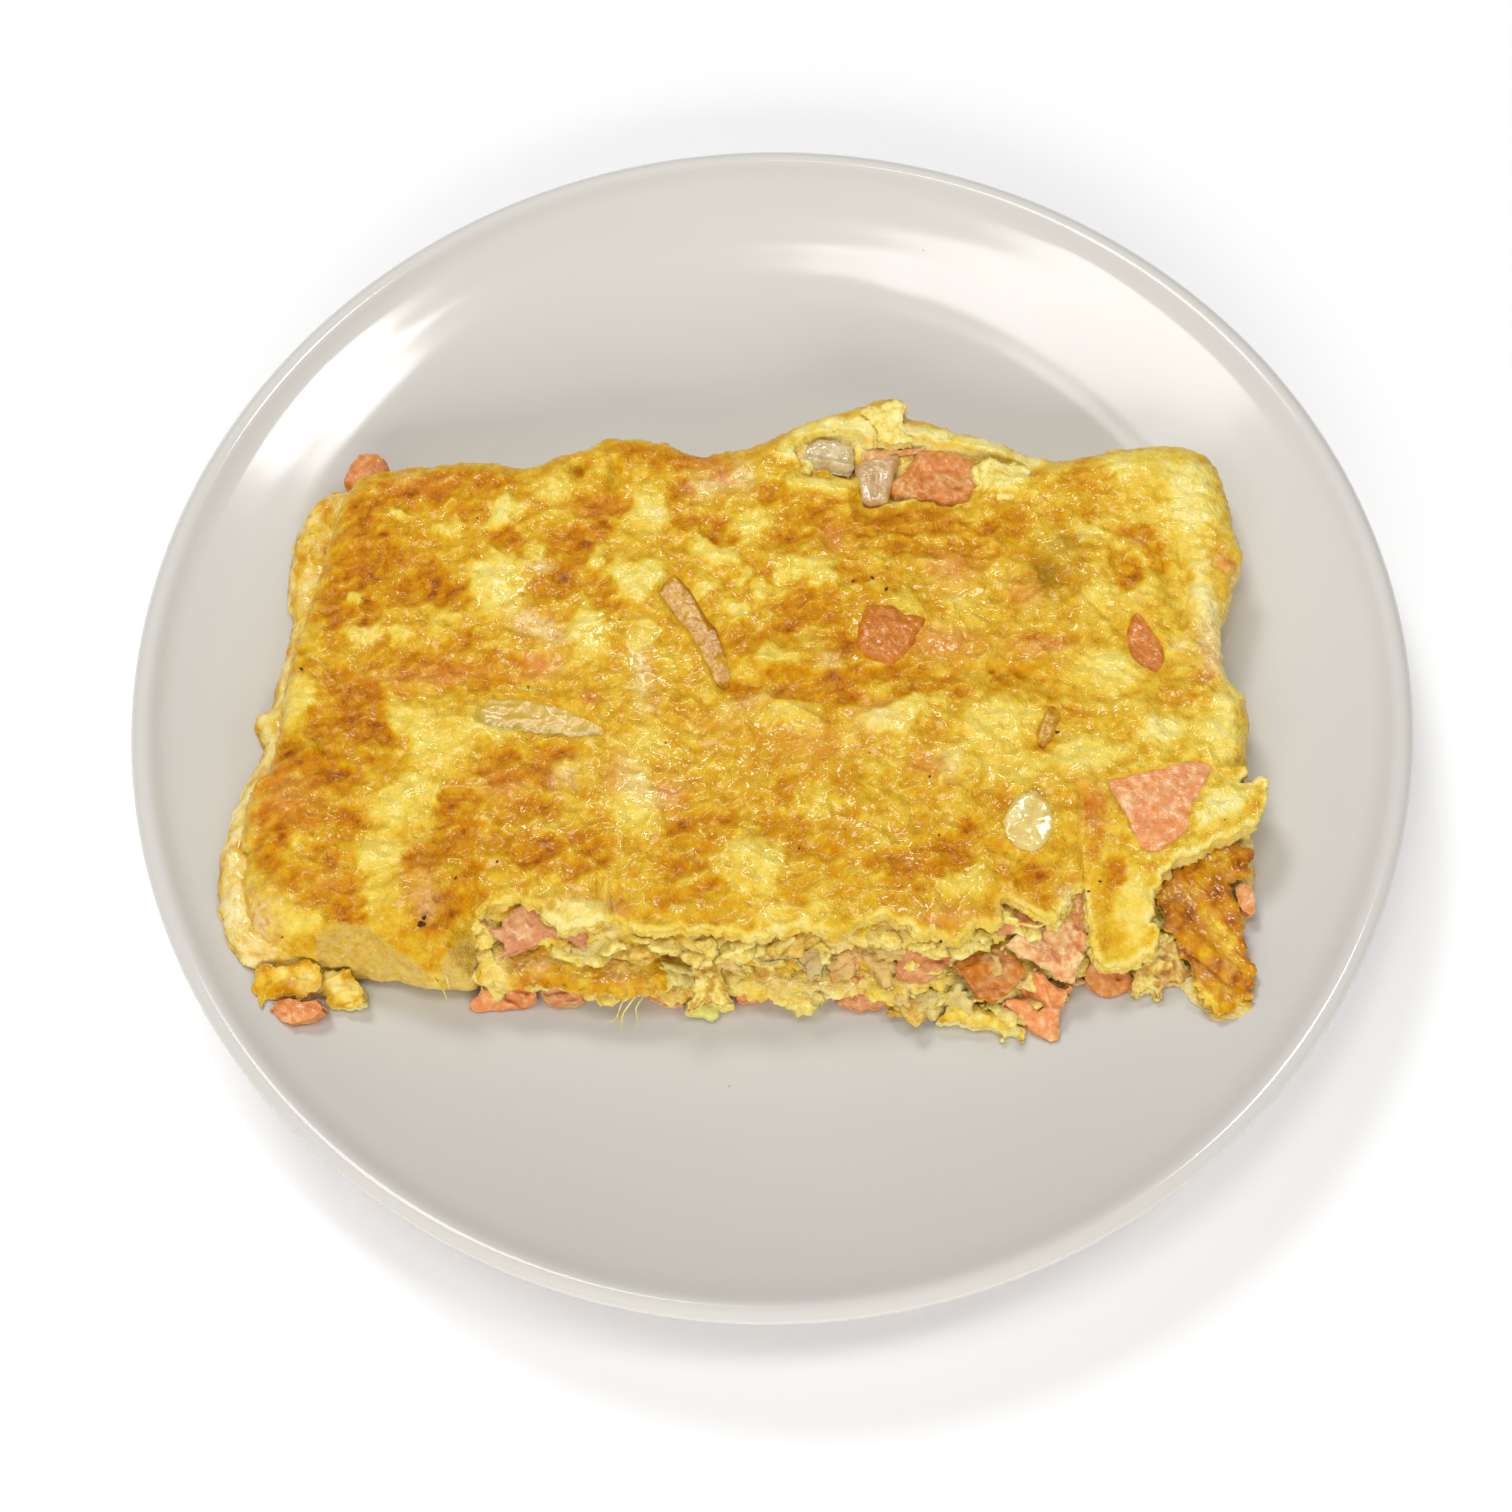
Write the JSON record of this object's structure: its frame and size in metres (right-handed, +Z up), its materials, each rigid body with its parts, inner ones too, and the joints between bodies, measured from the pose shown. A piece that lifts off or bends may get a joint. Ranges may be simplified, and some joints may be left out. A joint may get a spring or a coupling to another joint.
{
  "type": "lox eggs and onions on a plate",
  "caption": "Folded omelette with smoked salmon and onion pieces, open and layered along its front, served on a round white coupe plate.",
  "frame": {"origin": "centre of the plate on the plane its foot ring stands on", "axes": "+Z up; +X to the right along the omelette's length, seen from its open front; +Y towards the back, so the open front faces -Y"},
  "size_m": [0.26, 0.26, 0.0287],
  "materials": {
    "browned_egg": "pan-browned egg skin, mottled golden brown over pale yellow, slightly moist",
    "crisp_egg": "crisp brown fried egg edge",
    "fried_onion": "fried tan onion strip with a darker edge",
    "golden_egg": "golden cooked egg layer with a soft sheen",
    "onion": "cooked translucent onion, glossy",
    "plate_glaze": "smooth glossy warm-white glaze",
    "salmon": "smoked salmon, pink-orange with pale lines, moist",
    "soft_egg": "soft pale yellow curds, moist"
  },
  "bodies": {
    "root": {"curd_front_grey": "soft_egg", "curd_front_left": "soft_egg", "curd_front_low": "soft_egg", "curd_front_right": "soft_egg", "egg_curl_left": "golden_egg", "egg_curl_right": "golden_egg", "egg_flap_brown": "crisp_egg", "egg_front_torn": "golden_egg", "egg_inner_fold": "golden_egg", "egg_sheet": "browned_egg", "filling_lower": "soft_egg", "filling_upper": "soft_egg", "lox_back_left": "salmon", "lox_back_right": "salmon", "lox_corner_back": "salmon", "lox_film_brown": "salmon", "lox_film_right": "salmon", "lox_front_1": "salmon", "lox_front_2": "salmon", "lox_front_3": "salmon", "lox_front_4": "salmon", "lox_front_5": "salmon", "lox_front_6": "salmon", "lox_front_big": "salmon", "lox_front_fan": "salmon", "lox_front_gold": "salmon", "lox_front_mauve": "salmon", "lox_front_strip": "salmon", "lox_left": "salmon", "lox_right": "salmon", "lox_top_big": "salmon", "lox_top_cube": "salmon", "lox_top_diamond": "salmon", "onion_back_left": "onion", "onion_back_right": "onion", "onion_fried": "fried_onion", "onion_glossy": "onion", "onion_sliver": "onion", "onion_strip": "onion", "plate": "plate_glaze"}
  },
  "joints": []
}
